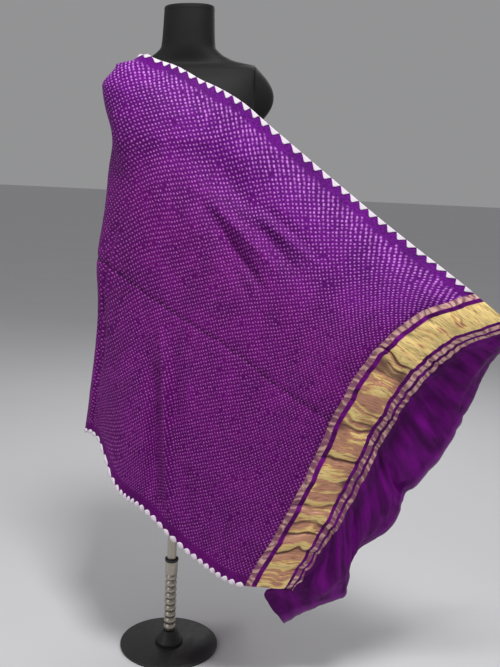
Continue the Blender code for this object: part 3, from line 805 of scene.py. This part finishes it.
zari, tree, shader, _, up, depth, lines = weave_parts("zari", 0.42)
# Bright gold on the sides of the creases that face up and on the crests of the fine lines, tan on
# the sides that face down: painted highlight and painted shade.
painted_highlight_share = maths(tree, "MULTIPLY_ADD", maths(tree, "SUBTRACT", lines, 0.5), 1.1, up)
gold_lit_and_shaded = mixed(tree, soft_step(tree, painted_highlight_share, 0.05, 0.55), colour(184, 132, 106),
              colour(226, 176, 114))
gold_lit_and_shaded = mixed(tree, soft_step(tree, painted_highlight_share, 0.45, 1.05), gold_lit_and_shaded, colour(252, 222, 146))
# Brown where the fine lines that bump the weave are low: painted shade in the fine creases.
gold_lit_and_shaded = mixed(tree, soft_step(tree, lines, 0.46, 0.34, 0.0, 0.60), gold_lit_and_shaded, colour(112, 64, 56))
# Dark in the deepest valleys of the creases: painted shade.
feed(tree, shader, Base_Color=mixed(tree, soft_step(tree, depth, 0.27, 0.10, 0.0, 0.85), gold_lit_and_shaded,
                                    colour(78, 30, 48)),
     Normal=bumped(tree, lines, 0.0016, 0.9))

CHECK = 0.0190                            # length of one light check in a stripe: a painted highlight on its creases
zari_thin, tree, shader, lengths, up, depth, lines = weave_parts("zari_thin", 0.48)
down = add(tree, "SeparateXYZ", {0: lengths}).outputs[1]
wander = noise_of(tree, lengths, 26.0, 2.0)
turns = maths(tree, "MULTIPLY_ADD", wander, 16.0,
              maths(tree, "MULTIPLY", down, 2 * np.pi / CHECK))
# Light checks on the sides of the stripe's creases that face up: painted highlight.
share = maths(tree, "MULTIPLY_ADD", up, 0.8,
              maths(tree, "MULTIPLY", maths(tree, "SINE", turns), 0.45))
crease_highlight = soft_step(tree, maths(tree, "MULTIPLY_ADD", lines, 0.9, share), 0.55, 1.45)
stripe_with_painted_highlight = mixed(tree, crease_highlight, colour(132, 78, 100), colour(224, 178, 166))
# Dark in the deepest valleys of the creases: painted shade.
feed(tree, shader, Base_Color=mixed(tree, soft_step(tree, depth, 0.12, 0.04, 0.0, 0.75), stripe_with_painted_highlight,
                                    colour(78, 24, 70)),
     Normal=bumped(tree, lines, 0.0010, 0.8))
print("finishes:", plain_silk.name, zari.name, zari_thin.name)

# %% [markdown]
# ## The two ends
# Each end is woven in zones, counted from its hem.  A table gives each zone's width, so the same
# loop weaves both ends, and the back one is the mirror of the front one.

# %% Weave the ends
GOLD_BAND = 0.073
END_ZONES = (
    # zone            width      slot
    ("plain_end",     PLAIN_END, "plain_silk"),
    ("outer_stripe",  0.011,     "zari_thin"),
    ("outer_ground",  0.008,     "plain_silk"),
    ("middle_stripe", 0.013,     "zari_thin"),
    ("middle_ground", 0.010,     "plain_silk"),
    ("gold_band",     GOLD_BAND, "zari"),
    ("inner_ground",  0.013,     "plain_silk"),
    ("inner_stripe",  0.017,     "zari_thin"),
)
FINISHES = {"plain_silk": plain_silk, "zari": zari, "zari_thin": zari_thin}
for side, cell_size in (("front", 0.0028), ("back", 0.0060)):
    across = stations(0, WIDTH, cell_size)
    start = 0.0
    for zone, width, slot_name in END_ZONES:
        u = stations(start, start + width, cell_size)
        u = u if side == "front" else (LENGTH - u)[::-1]
        piece = sheet_piece(f"{side}_{zone}_cloth", u, across)
        piece.data.materials.append(FINISHES[slot_name])
        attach(piece, "root")
        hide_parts(f"{side}_{zone}")
        start += width
    print(side, "end:", len(END_ZONES), "zones,", round(start, 3), "m")

# %% [markdown]
# ## The white edging
# Each tooth is a square of white cotton folded twice into a right-angled triangle, sewn with its
# long side on the cloth's edge.  A tooth is a small pillow on a grid of two shares: `s` along its
# long side and `t` in from the edge, where it narrows to a blunt tip.  Along the slack lower edge
# the teeth buckle into plump beads that straddle the edge.

# %% Sew on the edging
cotton, tree, shader = finish("white_cotton", Roughness=0.85, Sheen_Weight=0.15)
place = on_object(tree)
feed(tree, shader, Base_Color=mixed(tree, noise_of(tree, place, 220.0), colour(214, 202, 214),
                                    colour(232, 222, 232)))
feed(tree, shader, Normal=bumped(tree, noise_of(tree, place, 900.0, 2.0), 0.0004, 0.6))

UPPER_PITCH, LOWER_PITCH = 0.0250, 0.0290     # from tooth to tooth along each edge
TOOTH_DEEP, TIP_WIDE = 0.0118, 0.12           # edge to tip, and the share of width left there
TOOTH_RIM, TOOTH_PLUMP, TOOTH_LIFT = 0.0002, 0.0006, 0.0014
BUD_DEEP, BUD_INSIDE = 0.0140, 0.55           # a buckled tooth, and the share of it on the cloth
BUD_RIM, BUD_PLUMP, BUD_LIFT = 0.0003, 0.0027, 0.0006


def pillows(name, u, v, thick, lift):
    """Many closed pillows from arrays (tooth, s, t): middle, plus and minus their thickness."""
    middle, out = cloth(u, v), facing(cloth, u, v)
    points = np.stack([middle + out * (lift + thick)[..., None],
                       middle + out * (lift - thick)[..., None]], axis=1)
    count, rows, columns = u.shape
    one = skin_faces(rows, columns)
    faces = one[None] + (np.arange(count) * 2 * rows * columns)[:, None, None]
    obj = make_object(name, points, faces.reshape(-1, 4))
    obj.data.materials.append(cotton)
    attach(obj, "root")
    return obj


def tooth_grid(pitch, rows, columns):
    """Where each tooth starts, and its two shares s and t, as arrays (tooth, s, t)."""
    count = int((LENGTH - 2 * END) / pitch)
    start = END + 0.003 + np.arange(count) * pitch
    return np.meshgrid(start, np.linspace(0, 1, rows), np.linspace(0, 1, columns), indexing="ij")


start, s, t = tooth_grid(UPPER_PITCH, 9, 6)
narrow = 1 - (1 - TIP_WIDE) * t
upper = pillows("upper_edging", start + UPPER_PITCH * (0.5 + (s - 0.5) * narrow * 0.97),
                t * TOOTH_DEEP,
                TOOTH_RIM + TOOTH_PLUMP * (4 * s * (1 - s)) ** 0.4 * (1 - t) ** 0.3, TOOTH_LIFT)
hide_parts("edging_upper_front", "edging_upper_shoulder", "edging_upper_back")

start, s, t = tooth_grid(LOWER_PITCH, 9, 7)
swell = np.sin(np.pi * np.clip(s, 0.02, 0.98)) ** 0.75
lower = pillows("lower_edging", start + LOWER_PITCH * (0.06 + 0.88 * s),
                WIDTH + (t - BUD_INSIDE) * BUD_DEEP * swell,
                BUD_RIM + BUD_PLUMP * swell * (4 * t * (1 - t)) ** 0.5, BUD_LIFT)
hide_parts("edging_lower_front", "edging_lower_shoulder", "edging_lower_back")
print("edging:", len(upper.data.polygons) + len(lower.data.polygons), "faces")

# %% [markdown]
# ## The hems
# A plain end is finished with a narrow hem rolled twice and stitched down.  It is a thin ellipse
# carried along the hem line: one loop of points around, at every station across the cloth.

# %% Roll the hems
HEM_REACH, HEM_THICK = 0.0028, 0.0013
hem_silk, tree, shader = finish("hem_silk", Roughness=0.50, Sheen_Weight=0.35)
lengths = on_cloth(tree)
feed(tree, shader, Base_Color=mixed(tree, noise_of(tree, lengths, 240.0, 2.0),
                                    colour(84, 22, 96), colour(128, 62, 136)))
hem_names = []
for side, line in (("front", HEM_REACH), ("back", LENGTH - HEM_REACH)):
    around, across = np.meshgrid(np.linspace(0, 2 * np.pi, 10, endpoint=False),
                                 stations(0, WIDTH, 0.005), indexing="ij")
    u, v = line + HEM_REACH * np.cos(around), across
    points = cloth(u, v) + facing(cloth, u, v) * (HEM_THICK * np.sin(around))[..., None]
    rows, columns = around.shape
    number = np.arange(rows * columns).reshape(rows, columns)
    after = np.roll(number, -1, axis=0)
    faces = np.stack([number[:, :-1], number[:, 1:], after[:, 1:], after[:, :-1]], axis=-1)
    hem = make_object(f"{side}_hem", points, faces.reshape(-1, 4),
                      [number[:, 0].tolist(), number[::-1, -1].tolist()])
    keep_lengths(hem, u.ravel(), v.ravel())
    hem.data.materials.append(hem_silk)
    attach(hem, "root")
    hem_names.append(hem.name)
print("hems:", hem_names)

# %% [markdown]
# ## The dress form
# The form is a stack of level rings, each a rounded oval cut flat at the armholes, joined by
# smooth curves from the hip to the neck.  The armhole caps are half ellipsoids.

# %% The form's finish and shapes
form_cover, tree, shader = finish("form_cover", Roughness=0.70, Sheen_Weight=0.03,
                                   Specular_IOR_Level=0.3)
place = on_object(tree)
feed(tree, shader, Base_Color=mixed(tree, noise_of(tree, place, 9.0, 3.0), colour(9, 9, 10),
                                    colour(14, 14, 15)))
feed(tree, shader, Normal=bumped(tree, noise_of(tree, place, 700.0, 2.0), 0.0003, 0.5))


def stacked(name, rings, finish_made, node, sharp=0.7):
    """A closed solid through rings (ring, point, 3), with a face over each end."""
    count, sides = rings.shape[:2]
    number = np.arange(count * sides).reshape(count, sides)
    after = np.roll(number, -1, axis=1)
    faces = np.stack([number[:-1], after[:-1], after[1:], number[1:]], axis=-1).reshape(-1, 4)
    obj = make_object(name, rings, faces, [number[0, ::-1].tolist(), number[-1].tolist()])
    obj.data.set_sharp_from_angle(angle=sharp)
    obj.data.materials.append(finish_made)
    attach(obj, "root")
    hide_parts(node)
    return obj


def oval(half, front, back, turn):
    """x = half * cos ** (2 / n) cut at the armholes, y = front or back * sin ** (2 / n)."""
    c, s = np.cos(turn), np.sin(turn)
    x = half * np.sign(c) * np.abs(c) ** (2 / ROUND)
    y = np.sign(s) * np.abs(s) ** (2 / ROUND) * np.where(s < 0, front, back)
    return np.clip(x, -ARMHOLE_X, ARMHOLE_X), y


TURN = np.linspace(0, 2 * np.pi, 128, endpoint=False)[None]
height = np.unique(np.concatenate([BODY[:, 0], np.arange(0.70, 1.50, 0.008)]))
left, span, t = between(BODY[:, 0], height)
slopes = careful_slopes(BODY[:, 0], BODY[:, 1:])
sizes = cubic(BODY[left, 1:], BODY[left + 1, 1:], slopes[left], slopes[left + 1], span, t)
x, y = oval(sizes[:, :1], sizes[:, 1:2], sizes[:, 2:], TURN)
torso = stacked("torso_cover", np.stack([x, y, tilted(x, height[:, None])], axis=-1),
                form_cover, "form_torso", sharp=0.9)

GAP = 0.0003
angle = np.radians(np.concatenate([np.linspace(0, 84, 27), [86, 88]]))[:, None]
for side, name, node, (out, front, up, centre) in (
        (-1, "right_cap_cover", "form_cap_right", CAPS[0]),
        (1, "left_cap_cover", "form_cap_left", CAPS[1])):
    x = side * (ARMHOLE_X + GAP + (out - GAP) * np.sin(angle) ** (2 * DOME)) + 0 * TURN
    y = side * front * np.cos(angle) * np.cos(TURN)
    z = centre + up * np.cos(angle) * np.sin(TURN)
    stacked(name, np.stack([x, y, tilted(x, z)], axis=-1), form_cover, node)

share, rise = np.array([(1, GAP), (1, 0.0065), (0.99, 0.0085), (0.965, 0.0097), (0.94, 0.010)]).T
x, y = oval(*(BODY[-1, 1:, None, None] * share[:, None]), TURN)
z = tilted(x, BODY[-1, 0] + rise[:, None])
stacked("neck_cap_cover", np.stack([x, y, z], axis=-1), form_cover, "form_neck_cap")
print("form: torso of", len(torso.data.polygons), "faces")

# %% [markdown]
# ## The stand
# Everything under the form is turned on a lathe, so a table of radius and height describes each
# piece.  The lower post is a row of beads, whose radius swells and narrows like a sine.

# %% The stand's finishes
grey_metal, tree, shader = finish("grey_metal", Metallic=0.85)
place = on_object(tree)
rubbed = streaks_of(tree, place, (90.0, 90.0, 900.0), 3.0)
feed(tree, shader, Base_Color=mixed(tree, rubbed, colour(160, 152, 140), colour(192, 186, 174)),
     Roughness=soft_step(tree, rubbed, 0.2, 0.8, 0.26, 0.42))
black_metal, tree, shader = finish("black_metal", Metallic=0.1)
place = on_object(tree)
worn = noise_of(tree, place, 60.0, 4.0)
feed(tree, shader, Base_Color=mixed(tree, worn, colour(22, 22, 23), colour(40, 40, 41)),
     Roughness=soft_step(tree, worn, 0.3, 0.7, 0.34, 0.5),
     Normal=bumped(tree, noise_of(tree, place, 500.0, 2.0), 0.0003, 0.4))

print("stand finishes:", grey_metal.name, black_metal.name)

# %% Turn the stand
BASE = ((0.1170, 0.0), (0.1192, 0.0006), (0.120, 0.002), (0.120, 0.006), (0.1192, 0.0074),
        (0.1178, 0.008))
BOSS = ((0.034, 0.0), (0.034, 0.005), (0.0325, 0.008), (0.027, 0.014), (0.023, 0.022),
        (0.0205, 0.028), (0.0195, 0.031), (0.0188, 0.032))
COLLAR = ((0.0138, 0.0), (0.0149, 0.0007), (0.0152, 0.002), (0.0152, 0.031), (0.0149, 0.0323),
          (0.0138, 0.033))
RING = ((0.0150, 0.0), (0.0162, 0.0005), (0.0165, 0.0015), (0.0165, 0.0055), (0.0162, 0.0065),
        (0.0150, 0.007))
SOCKET = ((0.0165, 0.0), (0.0182, 0.003), (0.026, 0.013), (0.0295, 0.0172), (0.030, 0.019),
          (0.030, 0.026))
RING_TOP, POLE_RADIUS = 0.228, 0.011
BEADS, BEAD_RADIUS, BEAD_NECK = 9, 0.0147, 0.0118

boss_foot = BASE[-1][1] + GAP
post_foot = boss_foot + BOSS[-1][1] + GAP
ring_foot = RING_TOP - RING[-1][1]
collar_foot = ring_foot - GAP - COLLAR[-1][1]
pole_foot = RING_TOP + GAP
socket_foot = HIP - GAP - SOCKET[-1][1]
share = np.linspace(0, 1, 16 * BEADS + 1)
beads = np.column_stack([
    BEAD_NECK + (BEAD_RADIUS - BEAD_NECK) * np.abs(np.sin(np.pi * BEADS * share)),
    (collar_foot - GAP - post_foot) * share])
pole = ((POLE_RADIUS, 0.0), (POLE_RADIUS, socket_foot - GAP - pole_foot))
TURNED = (
    # piece          profile  foot         node             slot
    ("base_plate",   BASE,    0.0,         "stand_base",    "black_metal"),
    ("base_boss",    BOSS,    boss_foot,   "stand_boss",    "black_metal"),
    ("beaded_post",  beads,   post_foot,   "stand_post",    "grey_metal"),
    ("pole_collar",  COLLAR,  collar_foot, "stand_collar",  "grey_metal"),
    ("pole_ring",    RING,    ring_foot,   "stand_ring",    "black_metal"),
    ("pole_tube",    pole,    pole_foot,   "stand_pole",    "grey_metal"),
    ("torso_socket", SOCKET,  socket_foot, "stand_socket",  "black_metal"),
)
for name, profile, foot, node, slot_name in TURNED:
    radius, rise = np.asarray(profile).T[:, :, None]
    rings = np.stack([radius * np.cos(TURN), radius * np.sin(TURN), foot + rise + 0 * TURN],
                     axis=-1)
    stacked(name, rings, grey_metal if slot_name == "grey_metal" else black_metal, node)
print("stand:", [row[0] for row in TURNED])
